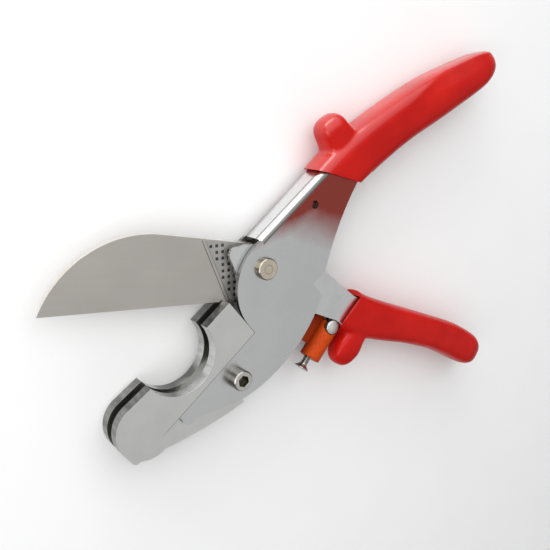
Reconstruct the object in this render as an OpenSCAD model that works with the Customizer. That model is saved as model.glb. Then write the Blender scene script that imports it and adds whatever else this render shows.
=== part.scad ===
// Hand-held plastic pipe cutter, scissor type, lying on its side.
// The origin is the centre of the pipe seat, in the cutting plane. +Z is the pipe's axis.
// The tool opens to -X (blade and jaw) and its two handles run to +X.

/* [Jaw] */
// Radius of the half-round pipe seat
seat_r = 18; // [17.5:0.25:18]
// Direction of the jaw and of the body channel, from +X
jaw_angle = 39; // [38:0.5:40]
// Width over the two jaw leaves, flush with the body plates
jaw_w = 16; // [15.8:0.1:16.4]
// Width of the slot the blade passes through
slot_w = 5; // [4.8:0.1:5.4]
// Length from the seat to the front end of the jaw
nose_x = 46.5; // [46:0.5:49]

/* [Body] */
// Thickness of the pressed body plates
plate_t = 2; // [1.8:0.1:2]
// Height of the channel's closed back above the pivot
back_y = 12.5; // [12.4:0.1:13]
// Outside radius of the channel's folds
fold_r = 3.5; // [3:0.5:4]
// Radius of the body's lower contour
belly_r = 77; // [76:0.5:77]
// Diameter of the spring anchor hole
anchor_d = 4; // [3.8:0.1:4]

/* [Pivot] */
// Diameter of the rivet's shank
rivet_d = 8; // [7.8:0.1:8]
// Diameter of the rivet's heads
rivet_head_d = 10.5; // [10:0.5:12]
// Outside diameter of the bush the lever turns on
bush_d = 10; // [9.8:0.1:10.2]

/* [Lever and blade] */
// Angle of the lever below +X with the tool open
lever_angle = 39; // [38:0.5:40]
// Width over the lever's two leaves
lever_w = 11.4; // [11.2:0.1:11.4]
// Thickness of the lever's leaves
leaf_t = 2; // [1.8:0.1:2]
// Thickness of the blade
blade_t = 3; // [2.6:0.1:3]
// Angle of the cutting edge below +X with the tool open
edge_angle = 4.5; // [3.5:0.5:5]
// Radius of the curved front of the blade
blade_r = 50; // [49:0.5:51]

/* [Grips] */
// Half thickness of the upper grip
upper_half = 10.5; // [10.2:0.1:11]
// Half thickness of the lower grip
lower_half = 9.6; // [9.2:0.1:10.5]

/* [Latch] */
// Diameter of the latch barrel
barrel_d = 11; // [10.5:0.25:11.5]
// Diameter of the latch screw
screw_d = 4; // [3.8:0.1:4]

/* [Hidden] */
$fn = 96;
eps = 0.5;
running = 0.05;
pivot_x = 57.5;
pivot_y = -2;
edge_drop = seat_r + pivot_y;
bevel = 22;
front_x = -59;
front_y = -29;
spine_slope = 11;
panel_depth = 0.2;
blade_rivet_d = 3.5;
floor_y = -seat_r - 0.5;
seam_y = -seat_r - 3.5;
seam_gap = 0.12;
seam_b = seam_y - pivot_y - seam_gap;
jaw_right = 33.5;
half_w = jaw_w / 2;
inner_half = half_w - plate_t;
belly_x = -22.5;
belly_y = 32.3;
tail_x = -73;
tail_r = 3.5;
under_x = 113.5;
under_y = -153;
under_r = 155;
fold_start = 6.5;
fold_end = 78;
nose_r = 14;
tang_x = 63.5;
tang_y = 147;
tang_r = 200;
leaf_out = lever_w / 2;
leaf_in = leaf_out - leaf_t;
bolt_x = 13;
bolt_y = -31;
bolt_d = 6;
bolt_head_d = 10;
bolt_head_h = 6;
bolt_chamfer = 0.6;
socket_d = 5.77;
socket_depth = 3;
washer_d = 12;
washer_t = 1;
nut_t = 3.2;
bolt_len = 20;
rivet_head_h = 2.5;
rivet_tail_h = 2;
rivet_chamfer = 0.5;
pivot_washer_d = 14;
spacer_d = 15;
anchor_x = 39.5;
anchor_y = 3.7;
post_x = 26;
post_y = 12;
post_d = 4;
loop_r = 9.2;
wire_r = 0.9;
wire_z = blade_t / 2 + 1.1;
notch_x = 14.5;
notch_y = -26.5;
latch_x = 57;
barrel_x = 58.1;
barrel_top = -0.6;
barrel_low = -21.2;
head_face = -28;
tongue_low = -3.6;
tongue_high = -0.6;
nut_y = -1.9;
nut_low = -3;
stem_r = 3;
button_r = 3.85;
button_low = 2.6;
button_high = 5.4;
slide_gap = 0.3;
web_low = 2;
front_cx = 2.5;
front_cy = -14.1;
front_r = 26.35;
hub_r = 11;
lobe_r = 3.9;
shank_top = 18;
mouth_x = 59.3;
cavity_gap = 0.02;
steel = [0.72, 0.73, 0.74];
dark_steel = [0.45, 0.46, 0.48];
blade_col = [0.66, 0.64, 0.6];
nickel = [0.78, 0.74, 0.64];
red = [0.78, 0.09, 0.06];
orange = [0.87, 0.33, 0.1];

body_channel();
upper_grip();
jaw();
jaw_bolt();
jaw_washer();
jaw_nut();
pivot_rivet();
pivot_washer();
pivot_bush();
spring_anchor();
opening_spring();
blade();
blade_spacers();
blade_rivets();
lever_channel();
spring_post();
lower_grip();
latch_slider();
latch_screw();
latch_nut();

// Frames: the jaw's own axes, the pivot, the body along its channel, and the lever along its shank.
module at_jaw() {
    rotate([0, 0, jaw_angle]) children();
}

module at_body() {
    at_jaw() translate([pivot_x, pivot_y, 0]) children();
}

module at_pivot() {
    at_body() rotate([0, 0, -jaw_angle]) children();
}

module at_lever() {
    at_pivot() rotate([0, 0, -lever_angle]) children();
}

module slab(low, high) {
    translate([0, 0, low]) linear_extrude(high - low) children();
}

module both_sides(low, high) {
    slab(low, high) children();
    slab(-high, -low) children();
}

// Smooth curve through knots, each [x, y, half width, half thickness].
function blend(a, b, c, d, t) = 0.5 * (2 * b + (c - a) * t + (2 * a - 5 * b + 4 * c - d) * t * t
    + (3 * b - a - 3 * c + d) * t * t * t);
function knot(k, i) = k[max(0, min(len(k) - 1, i))];
function along(k, u) = let (i = min(floor(u), len(k) - 2))
    blend(knot(k, i - 1), knot(k, i), knot(k, i + 1), knot(k, i + 2), u - i);
function heading(k, u) = let (a = along(k, max(0, u - 0.02)), b = along(k, min(len(k) - 1, u + 0.02)))
    atan2(b[1] - a[1], b[0] - a[0]);
function power(v, e) = sign(v) * pow(abs(v), e);
// The last stretch of a grip closes to a round end.
function closing(v, start) = v < start ? 1 : sqrt(max(0.0004, 1 - pow((v - start) / (1 - start), 2)));
function ring_point(s, h, q, k) = [s[0] - sin(h) * s[2] * k * power(sin(q), 0.62),
    s[1] + cos(h) * s[2] * k * power(sin(q), 0.62), s[3] * k * power(cos(q), 0.62)];

module sleeve(k, rings, sides, start) {
    span = len(k) - 1;
    points = [for (i = [0:rings]) let (v = i / rings, u = v * span, s = along(k, u), h = heading(k, u),
        c = closing(v, start)) for (j = [0:sides - 1]) ring_point(s, h, 360 * j / sides, c)];
    walls = [for (i = [0:rings - 1]) for (j = [0:sides - 1]) let (a = i * sides + j,
        b = i * sides + (j + 1) % sides) each [[a, b, b + sides], [a, b + sides, a + sides]]];
    first = [for (j = [1:sides - 2]) [0, j + 1, j]];
    last = [for (j = [1:sides - 2]) let (r = rings * sides) [r, r + j, r + j + 1]];
    polyhedron(points = points, faces = concat(walls, first, last), convexity = 6);
}

// Outline of one body plate, in the body's axes.
module plate_2d() {
    difference() {
        union() {
            intersection() {
                translate([belly_x, belly_y]) circle(r = belly_r);
                polygon([[-76, seam_b], [notch_x, seam_b], [notch_x, -60], [-17, -60], [-48.5, -40.5],
                    [-71.5, -26.5], [-76, -23]]);
            }
            intersection() {
                translate([tail_x, -23.5]) circle(r = tail_r);
                translate([-80, -30]) square([20, 30 + seam_b]);
            }
            intersection() {
                union() {
                    translate([front_cx, front_cy]) circle(r = front_r);
                    translate([front_cx - front_r, seam_b - eps])
                        square([front_r, front_cy - seam_b + eps]);
                }
                translate([-30, seam_b - eps]) square([30 + notch_x, back_y - 0.3 - seam_b + eps]);
            }
            difference() {
                polygon([[0, notch_y], [30, notch_y], [fold_end, -14], [fold_end, back_y - fold_r],
                    [0, back_y - fold_r]]);
                translate([under_x, under_y]) circle(r = under_r);
            }
            polygon([[70, -5], [76, -5], [108, -9.5], [134, -15.5], [164, -23], [164, -11], [134, -1],
                [108, 6.5], [fold_end, back_y - fold_r], [70, back_y - fold_r]]);
        }
        translate([fold_start, back_y - fold_r]) square([80, 20]);
    }
}

// Channel section with round folds, depth along its own X and width along its own Y.
module fold_2d(depth, half, r) {
    translate([r - depth, -half]) square([depth - 2 * r, 2 * half]);
    translate([-r - eps, r - half]) square([r + eps, 2 * half - 2 * r]);
    for (side = [-1, 1]) translate([-r, side * (half - r)]) circle(r = r);
}

module channel_fold(x0, x1, depth) {
    translate([x0, back_y, 0]) rotate([90, 0, 90]) linear_extrude(x1 - x0)
        intersection() {
            difference() {
                fold_2d(depth + fold_r, half_w, fold_r);
                translate([-plate_t, 0]) fold_2d(depth + fold_r + 4, half_w - plate_t, fold_r - plate_t);
            }
            translate([-depth, -20]) square([depth, 40]);
        }
}

module body_channel() {
    color(steel) at_body() difference() {
        union() {
            both_sides(inner_half, half_w) plate_2d();
            channel_fold(fold_start, fold_end, fold_r + eps);
            slab(-half_w, half_w) polygon([[77.5, back_y], [108, 6.5], [134, -1], [164, -11], [164, -13],
                [133.4, -2.9], [107.6, 4.5], [77.5, back_y - 2]]);
        }
        cylinder(d = rivet_d + 2 * running, h = 40, center = true);
        translate([bolt_x - pivot_x, bolt_y - pivot_y, 0])
            cylinder(d = bolt_d + 2 * running, h = 40, center = true);
        translate([anchor_x, anchor_y, 0]) cylinder(d = anchor_d, h = 40, center = true);
    }
}

// Dipped sleeve of the fixed handle, with a thumb rest; the mouth is cut at a slant.
module upper_grip() {
    color(red) at_body() difference() {
        intersection() {
            union() {
                sleeve([[44, 2, 12.8, 9.8], [64, 2.7, 12.8, 9.9], [82, 1.9, 12.6, upper_half],
                    [108, -2.1, 12.2, upper_half], [134, -8.2, 12.2, upper_half], [158, -15, 10.7, 10],
                    [172, -18.8, 9.5, 9.2], [185.6, -21.4, 8.7, 8.4]], 34, 28, 0.82);
                sleeve([[71.5, 2, 12, 7.5], [72.6, 12, 10.2, 7.8], [73, 20.5, 8.1, 7.7],
                    [73.9, 28.8, 8.4, 7.2]], 14, 24, 0.68);
            }
            slab(-20, 20) polygon([[44.5, 25], [75, -18.5], [210, -60], [210, 50], [50, 50]]);
        }
        grip_core();
    }
}

// Space the channel fills inside the upper grip.
module grip_core() {
    translate([40, back_y + cavity_gap, 0]) rotate([90, 0, 90]) linear_extrude(37.5)
        fold_2d(2 * fold_r + 4, half_w + cavity_gap, fold_r);
    slab(-half_w - cavity_gap, half_w + cavity_gap) polygon([[40, back_y - fold_r], [77.4, back_y - fold_r],
        [77.5, back_y + cavity_gap], [108, 6.6], [134, -0.9], [164.1, -10.9], [164.1, -23.1],
        [134, -15.6], [108, -9.6], [76, -5.1], [70, -5.1], [66, -6], [62, -7.5], [58, -9.3], [54, -11.3],
        [40, -20]]);
}

// Jaw: a block with a half-round seat, slotted for the blade, and a thinner tang between the plates.
module jaw_head_2d() {
    difference() {
        union() {
            polygon([[jaw_right, seam_y], [jaw_right, 0], [-seat_r, 0], [nose_r - nose_x, 1],
                [nose_r - nose_x, -13], [-nose_x, -13], [-nose_x, -20], [1 - nose_x, seam_y]]);
            translate([nose_r - nose_x, 1 - nose_r]) circle(r = nose_r);
        }
        circle(r = seat_r);
    }
}

module jaw_tang_2d() {
    intersection() {
        translate([tang_x, tang_y]) circle(r = tang_r);
        union() {
            translate([-nose_x + 1.5, -60]) square([nose_x + 6.5, 60 + seam_y + eps]);
            intersection() {
                translate([belly_x + pivot_x, belly_y + pivot_y]) circle(r = belly_r - 1);
                translate([7, -60]) square([17, 60 + seam_y + eps]);
            }
        }
    }
}

module jaw() {
    color(steel) at_jaw() difference() {
        union() {
            slab(-half_w, half_w) jaw_head_2d();
            slab(-inner_half, inner_half) jaw_tang_2d();
        }
        translate([-80, floor_y, -slot_w / 2]) cube([160, 40, slot_w]);
        translate([bolt_x, bolt_y, 0]) cylinder(d = bolt_d + 2 * running, h = 40, center = true);
    }
}

// Socket-head screw through both plates and the jaw's tang.
module jaw_bolt() {
    color(dark_steel) at_jaw() translate([bolt_x, bolt_y, half_w]) difference() {
        union() {
            cylinder(d = bolt_head_d, h = bolt_head_h - bolt_chamfer);
            translate([0, 0, bolt_head_h - bolt_chamfer])
                cylinder(r1 = bolt_head_d / 2, r2 = bolt_head_d / 2 - bolt_chamfer, h = bolt_chamfer);
            translate([0, 0, -bolt_len]) cylinder(d = bolt_d, h = bolt_len + eps);
        }
        translate([0, 0, bolt_head_h - socket_depth]) cylinder(d = socket_d, h = 5, $fn = 6);
    }
}

module jaw_washer() {
    color(steel) at_jaw() translate([bolt_x, bolt_y, -half_w - washer_t]) difference() {
        cylinder(d = washer_d, h = washer_t);
        translate([0, 0, -1]) cylinder(d = bolt_d + 2 * running, h = 4);
    }
}

module jaw_nut() {
    color(dark_steel) at_jaw() translate([bolt_x, bolt_y, -half_w - washer_t - nut_t]) difference() {
        cylinder(d = washer_d - 0.5, h = nut_t, $fn = 6);
        translate([0, 0, -1]) cylinder(d = bolt_d + 2 * running, h = 6);
    }
}

module pivot_rivet() {
    head_z = half_w + washer_t;
    color(nickel) at_body() union() {
        cylinder(d = rivet_d, h = 2 * half_w, center = true);
        translate([0, 0, half_w]) cylinder(d = rivet_head_d, h = rivet_head_h - rivet_chamfer);
        translate([0, 0, half_w + rivet_head_h - rivet_chamfer])
            cylinder(r1 = rivet_head_d / 2, r2 = rivet_head_d / 2 - rivet_chamfer, h = rivet_chamfer);
        translate([0, 0, -head_z]) cylinder(d = rivet_d, h = washer_t + eps);
        translate([0, 0, -head_z - rivet_tail_h]) cylinder(d = rivet_head_d, h = rivet_tail_h);
    }
}

module pivot_washer() {
    color(steel) at_body() translate([0, 0, -half_w - washer_t]) difference() {
        cylinder(d = pivot_washer_d, h = washer_t);
        translate([0, 0, -1]) cylinder(d = rivet_d + 2 * running, h = 4);
    }
}

module pivot_bush() {
    color(dark_steel) at_body() difference() {
        cylinder(d = bush_d, h = 2 * inner_half, center = true);
        cylinder(d = rivet_d + 2 * running, h = 40, center = true);
    }
}

// Pin across the channel that holds the spring's fixed leg; its front end sits below the plate.
module spring_anchor() {
    color(dark_steel) at_body() translate([anchor_x, anchor_y, -half_w])
        cylinder(d = anchor_d - 2 * running, h = 2 * half_w - 1.4);
}

// Hairpin spring round the bush, between the blade and the front leaf, pushing the handles apart.
module opening_spring() {
    span_a = norm([anchor_x, anchor_y]);
    span_p = norm([post_x, post_y]);
    reach = loop_r + anchor_d / 2 + wire_r;
    leg_a = atan2(anchor_y, anchor_x) + jaw_angle + acos(reach / span_a);
    leg_p = atan2(post_y, post_x) - lever_angle - acos(reach / span_p);
    color(dark_steel) at_pivot() translate([0, 0, wire_z]) union() {
        rotate([0, 0, leg_a]) rotate_extrude(angle = 360 + leg_p - leg_a)
            translate([loop_r, 0]) circle(r = wire_r);
        rotate([0, 0, leg_a]) translate([loop_r, -0.05, 0]) {
            sphere(r = wire_r + 0.1);
            rotate([90, 0, 0]) cylinder(r = wire_r, h = sqrt(span_a * span_a - reach * reach) + 3);
        }
        rotate([0, 0, leg_p]) translate([loop_r, 0.05, 0]) {
            sphere(r = wire_r + 0.1);
            rotate([-90, 0, 0]) cylinder(r = wire_r, h = sqrt(span_p * span_p - reach * reach) + 1.5);
        }
    }
}

// Blade: straight edge, round front, and a root that clears the body's back as the lever closes.
module blade_2d() {
    join_x = front_x + blade_r * sin(spine_slope);
    join_y = front_y + blade_r * cos(spine_slope);
    spine = tan(spine_slope);
    difference() {
        polygon([[-115, join_y + (join_x + 115) * spine], [-3, join_y + (join_x + 3) * spine], [6, 9],
            [22, -6], [22, -14], [12, -18], [-115, -60]]);
        difference() {
            translate([join_x - 100, -100]) square([100, 200]);
            translate([front_x, front_y]) circle(r = blade_r);
        }
        rotate([0, 0, -edge_angle]) translate([-160, -edge_drop - 120]) square([240, 120]);
    }
}

module blade() {
    color(blade_col) at_pivot() difference() {
        slab(-blade_t / 2, blade_t / 2) blade_2d();
        cylinder(d = bush_d + 2 * running, h = 40, center = true);
        at_rivets() cylinder(d = blade_rivet_d, h = 40, center = true);
        rotate([0, 0, -edge_angle]) translate([-120, -edge_drop, blade_t / 2]) rotate([-bevel, 0, 0])
            translate([0, -20, -10]) cube([200, 30, 10]);
        translate([0, 0, blade_t / 2 - panel_depth]) linear_extrude(1)
            polygon([[-29.9, 15.5], [-17.9, -14.4], [-6, -14.4], [-6, 11.2]]);
    }
}

// Two flush rivets that fix the blade between the lever's leaves.
module at_rivets() {
    rotate([0, 0, -lever_angle]) {
        translate([5, -11, 0]) children();
        translate([20, 4, 0]) children();
    }
}

module blade_rivets() {
    color(dark_steel) at_pivot() at_rivets()
        cylinder(d = blade_rivet_d, h = lever_w, center = true);
}

module blade_spacers() {
    color(dark_steel) at_pivot() both_sides(blade_t / 2, leaf_in) difference() {
        circle(d = spacer_d);
        circle(d = bush_d + 2 * running);
    }
}

// Lever: two leaves round the blade, joined by a back that starts behind the hub.
module leaf_2d() {
    circle(r = hub_r);
    intersection() {
        circle(r = hub_r + 3.5);
        rotate([0, 0, -lever_angle]) translate([-20, -20]) square([40, 22]);
    }
    polygon([[-13.4, -3.6], [-17.8, 6.6], [-13.6, 11.3], [-9, 12], [-3, 11.5], [0, 0]]);
    translate([-14.1, 7.6]) circle(r = lobe_r);
    rotate([0, 0, -lever_angle]) polygon([[-1.5, 10.8], [13, shank_top], [58, shank_top], [73, 21.5],
        [104, 31.5], [139, 43], [157, 44], [157, 33], [125, 25], [98, 14.5], [85, 8], [74, web_low],
        [56, web_low], [41, -2], [10, -10.5], [0, 0]]);
}

module lever_channel() {
    color(steel) at_pivot() difference() {
        union() {
            both_sides(leaf_in, leaf_out) leaf_2d();
            rotate([0, 0, -lever_angle]) slab(-leaf_out, leaf_out) polygon([[34, web_low], [74, web_low],
                [85, 8], [98, 14.5], [125, 25], [157, 33], [156.5, 35], [124.4, 27], [97.2, 16.4],
                [84.2, 9.9], [73.5, 4], [34, 4]]);
        }
        cylinder(d = bush_d + 2 * running, h = 40, center = true);
        at_rivets() cylinder(d = blade_rivet_d, h = 40, center = true);
        rotate([0, 0, -lever_angle]) {
            translate([post_x, post_y, 0]) cylinder(d = post_d, h = 40, center = true);
            translate([latch_x, 0, 0]) rotate([-90, 0, 0]) cylinder(d = screw_d + 2 * running, h = 8);
        }
    }
}

module spring_post() {
    color(dark_steel) at_lever() translate([post_x, post_y, 0])
        cylinder(d = post_d, h = lever_w, center = true);
}

// Dipped sleeve of the moving handle, with a finger rest in front of its mouth.
module lower_grip() {
    color(red) at_lever() difference() {
        intersection() {
            union() {
                sleeve([[50, 10.6, 10.9, 8.2], [60, 11.1, 11.2, 8.4], [70, 12.2, 11.5, 8.9],
                    [86, 17.5, 10.8, lower_half], [106, 25.1, 9.8, lower_half],
                    [126, 31.9, 9.5, lower_half], [141, 36, 10, 9.4], [155, 38.5, 10, 9.2],
                    [165, 39.7, 9.4, 8.8], [172.6, 40.2, 8.6, 8]], 34, 28, 0.81);
                sleeve([[76, 14, 7.5, 7], [74.8, 4, 7, 7.4], [75.5, -6, 8.2, 7.4], [76.5, -15.7, 8.6, 6.8]],
                    12, 24, 0.55);
            }
            slab(-20, 20) polygon([[mouth_x, -40], [mouth_x, -2], [mouth_x + 0.7, 10], [mouth_x + 2.7, 26],
                [220, 80], [220, -40]]);
        }
        lever_core();
        translate([latch_x, nut_y, button_low - slide_gap]) cylinder(r = button_r + 0.1, h = 10);
        translate([latch_x, -30, 0]) rotate([-90, 0, 0]) cylinder(d = screw_d + 2, h = 33);
        translate([barrel_x, barrel_low - 8, 0]) rotate([-90, 0, 0]) cylinder(d = barrel_d + 0.7, h = 31.2);
    }
}

module lever_core() {
    slab(-leaf_out - cavity_gap, leaf_out + cavity_gap) polygon([[40, web_low - cavity_gap],
        [74, web_low - cavity_gap], [85.1, 7.9], [98.1, 14.4], [125, 24.9], [157.1, 32.9], [157.1, 44.1],
        [139, 43.1], [104, 31.6], [73, 21.6], [58, shank_top + cavity_gap],
        [40, shank_top + cavity_gap]]);
}

// Latch: a moulded barrel that slides on its screw, with a tongue between the body plates. Its top is
// slotted for the stem of the round nut and has a wider pocket in front for the nut's button.
module latch_slider() {
    barrel_len = barrel_top - barrel_low;
    color(orange) at_lever() difference() {
        union() {
            translate([barrel_x, barrel_low, 0]) rotate([-90, 0, 0]) union() {
                cylinder(r1 = barrel_d / 2 - 0.4, r2 = barrel_d / 2, h = 0.4);
                translate([0, 0, 0.4]) cylinder(d = barrel_d, h = barrel_len - 0.4);
            }
            slab(tongue_low, tongue_high) polygon([[47.2, -14.6], [48.2, -15.6], [barrel_x - 3, -15.6],
                [barrel_x - 3, barrel_top], [52.6, 1.2], [50, 1], [48.2, -0.2], [47.2, -2.4]]);
        }
        translate([latch_x, -30, 0]) rotate([-90, 0, 0]) cylinder(d = screw_d + 2 * running, h = 40);
        slab(-10, 10) nut_slot_2d(stem_r + slide_gap);
        slab(button_low - slide_gap, 10) nut_slot_2d(button_r + slide_gap);
    }
}

module nut_slot_2d(r) {
    translate([latch_x, nut_y]) circle(r = r);
    translate([latch_x - r, nut_y]) square([2 * r, 8]);
}

module latch_screw() {
    color(steel) at_lever() translate([latch_x, head_face, 0]) rotate([-90, 0, 0]) difference() {
        union() {
            cylinder(d = 8, h = 0.4);
            translate([0, 0, 0.4]) cylinder(r1 = 4, r2 = screw_d / 2, h = 2);
            translate([0, 0, 2]) cylinder(d = screw_d, h = 34);
        }
        cube([5, 0.9, 1.8], center = true);
        cube([0.9, 5, 1.8], center = true);
    }
}

// Round nut under the lever's back, with a button that shows in the barrel's pocket.
module latch_nut() {
    color(steel) at_lever() difference() {
        translate([latch_x, nut_y, 0]) union() {
            translate([0, 0, nut_low]) cylinder(r = stem_r, h = button_low - nut_low + eps);
            translate([0, 0, button_low]) cylinder(r = button_r, h = button_high - button_low - 0.4);
            translate([0, 0, button_high - 0.4]) cylinder(r1 = button_r, r2 = button_r - 0.4, h = 0.4);
        }
        translate([latch_x, -30, 0]) rotate([-90, 0, 0]) cylinder(d = screw_d + 2 * running, h = 40);
    }
}
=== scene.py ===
import math

import bmesh
import bpy
import numpy as np
from mathutils import Matrix, Vector


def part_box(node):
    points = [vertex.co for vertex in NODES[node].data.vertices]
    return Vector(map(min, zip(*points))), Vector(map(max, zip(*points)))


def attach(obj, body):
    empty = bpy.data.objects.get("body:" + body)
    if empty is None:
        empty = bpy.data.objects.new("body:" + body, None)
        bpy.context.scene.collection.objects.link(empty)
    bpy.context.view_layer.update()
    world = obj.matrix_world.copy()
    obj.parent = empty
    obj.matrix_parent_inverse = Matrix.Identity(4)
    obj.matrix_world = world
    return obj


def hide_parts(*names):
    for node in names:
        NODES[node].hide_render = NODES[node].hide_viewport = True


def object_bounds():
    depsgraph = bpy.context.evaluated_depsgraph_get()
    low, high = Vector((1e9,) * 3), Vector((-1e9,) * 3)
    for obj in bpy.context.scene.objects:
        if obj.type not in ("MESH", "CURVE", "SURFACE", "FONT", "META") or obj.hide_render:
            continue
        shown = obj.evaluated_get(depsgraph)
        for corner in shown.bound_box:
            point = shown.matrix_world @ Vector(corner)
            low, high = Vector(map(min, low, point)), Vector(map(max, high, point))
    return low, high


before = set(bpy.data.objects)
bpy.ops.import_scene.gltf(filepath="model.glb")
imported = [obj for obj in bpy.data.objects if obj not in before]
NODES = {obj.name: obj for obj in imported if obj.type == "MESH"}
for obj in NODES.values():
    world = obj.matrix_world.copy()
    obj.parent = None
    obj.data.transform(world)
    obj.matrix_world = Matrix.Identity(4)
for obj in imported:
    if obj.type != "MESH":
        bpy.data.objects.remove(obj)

MM = 0.001
cad_box = [list(v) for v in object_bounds()]


def centre(node):
    lo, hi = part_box(node)
    return (lo + hi) / 2 / MM


# Frames in millimetres, all centred on the pivot: its own, the body's along its channel and the
# lever's along its shank.
def turn(degrees):
    return Matrix.Rotation(math.radians(degrees), 4, "Z")


HANDLE_DEG = 39
pivot = centre("pivot_rivet")
pivot.z = 0
PIVOT = Matrix.Translation(pivot)
BODY = PIVOT @ turn(HANDLE_DEG)
LEVER = PIVOT @ turn(-HANDLE_DEG)
FRONT = Vector((0, 0, 1))


# ---------------------------------------------------------------- materials
class Net:
    """A material's node tree, with short calls for the nodes used here."""

    def __init__(self, name, metallic=0.0, coat_roughness=0.05):
        self.material = bpy.data.materials.new(name)
        self.material.use_nodes = True
        self.tree = self.material.node_tree
        self.tree.nodes.clear()
        out = self.tree.nodes.new("ShaderNodeOutputMaterial")
        self.shader = self.tree.nodes.new("ShaderNodeBsdfPrincipled")
        self.shader.inputs["Metallic"].default_value = metallic
        self.shader.inputs["Coat Roughness"].default_value = coat_roughness
        self.tree.links.new(self.shader.outputs["BSDF"], out.inputs["Surface"])
        coords = self.tree.nodes.new("ShaderNodeTexCoord")
        self.place = coords.outputs["Object"]
        self.facing = coords.outputs["Normal"]

    def link(self, value, socket):
        if isinstance(value, bpy.types.NodeSocket):
            self.tree.links.new(value, socket)
        else:
            socket.default_value = value

    def vector(self, scale=(1, 1, 1), degrees=0.0):
        """Places seen in a frame turned about Z, then scaled along its axes."""
        frame_of = self.tree.nodes.new("ShaderNodeMapping")
        frame_of.vector_type = "POINT"
        frame_of.inputs["Rotation"].default_value = (0, 0, math.radians(-degrees))
        self.link(self.place, frame_of.inputs["Vector"])
        n = self.tree.nodes.new("ShaderNodeMapping")
        n.inputs["Scale"].default_value = scale
        self.link(frame_of.outputs["Vector"], n.inputs["Vector"])
        return n.outputs["Vector"]

    def noise(self, scale, detail, rough, vector=None):
        n = self.tree.nodes.new("ShaderNodeTexNoise")
        n.inputs["Scale"].default_value = scale
        n.inputs["Detail"].default_value = detail
        n.inputs["Roughness"].default_value = rough
        self.link(self.place if vector is None else vector, n.inputs["Vector"])
        return n.outputs["Fac"]

    def cells(self, scale):
        n = self.tree.nodes.new("ShaderNodeTexVoronoi")
        n.inputs["Scale"].default_value = scale
        self.link(self.place, n.inputs["Vector"])
        return n.outputs["Distance"]

    def span(self, value, low, high, to_low=0.0, to_high=1.0):
        """A straight ramp between two values, clamped at both ends."""
        n = self.tree.nodes.new("ShaderNodeMapRange")
        self.link(value, n.inputs["Value"])
        for name, number in (("From Min", low), ("From Max", high), ("To Min", to_low), ("To Max", to_high)):
            n.inputs[name].default_value = number
        return n.outputs["Result"]

    def calc(self, operation, a, b=0.0):
        n = self.tree.nodes.new("ShaderNodeMath")
        n.operation = operation
        self.link(a, n.inputs[0])
        self.link(b, n.inputs[1])
        return n.outputs["Value"]

    def mix(self, amount, a, b):
        n = self.tree.nodes.new("ShaderNodeMix")
        n.data_type = "RGBA"
        self.link(amount, n.inputs["Factor"])
        self.link((*a, 1) if isinstance(a, tuple) else a, n.inputs[6])
        self.link((*b, 1) if isinstance(b, tuple) else b, n.inputs[7])
        return n.outputs[2]

    def bump(self, height, distance_mm, strength=1.0, normal=None):
        n = self.tree.nodes.new("ShaderNodeBump")
        n.inputs["Strength"].default_value = strength
        n.inputs["Distance"].default_value = distance_mm * MM
        self.link(height, n.inputs["Height"])
        if normal is not None:
            self.link(normal, n.inputs["Normal"])
        return n.outputs["Normal"]

    def axis(self, which, vector=None):
        n = self.tree.nodes.new("ShaderNodeSeparateXYZ")
        self.link(self.place if vector is None else vector, n.inputs["Vector"])
        return n.outputs[which]

    def radius(self, x_mm=0.0, y_mm=0.0):
        """Distance from an axis along Z, in millimetres."""
        dx = self.calc("SUBTRACT", self.calc("MULTIPLY", self.axis("X"), 1 / MM), x_mm)
        dy = self.calc("SUBTRACT", self.calc("MULTIPLY", self.axis("Y"), 1 / MM), y_mm)
        sum_squares = self.calc("ADD", self.calc("MULTIPLY", dx, dx), self.calc("MULTIPLY", dy, dy))
        return self.calc("SQRT", sum_squares)

    def flat_face(self):
        """1 on faces square to Z, 0 on the thickness of a plate."""
        return self.span(self.calc("ABSOLUTE", self.axis("Z", self.facing)), 0.55, 0.9)

    def sideways(self, degrees):
        """How far a face looks along one direction in the XY plane."""
        n = self.tree.nodes.new("ShaderNodeVectorMath")
        n.operation = "DOT_PRODUCT"
        n.inputs[1].default_value = (math.cos(math.radians(degrees)), math.sin(math.radians(degrees)), 0)
        self.link(self.facing, n.inputs[0])
        return n.outputs["Value"]

    def depth(self, low_mm, high_mm):
        """0 near the middle plane, 1 towards the outer faces."""
        return self.span(self.calc("ABSOLUTE", self.axis("Z")), low_mm * MM, high_mm * MM)

    def streaks(self, degrees, across, along, low, high):
        """Thin scratches that run along one direction in the XY plane."""
        return self.span(self.noise(1.0, 2.0, 0.6, self.vector((along, across, across), degrees)), low, high)

    def done(self, colour, roughness, normal=None):
        self.link((*colour, 1) if isinstance(colour, tuple) else colour, self.shader.inputs["Base Color"])
        self.link(roughness, self.shader.inputs["Roughness"])
        if normal is not None:
            self.link(normal, self.shader.inputs["Normal"])
        return self.material


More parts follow.
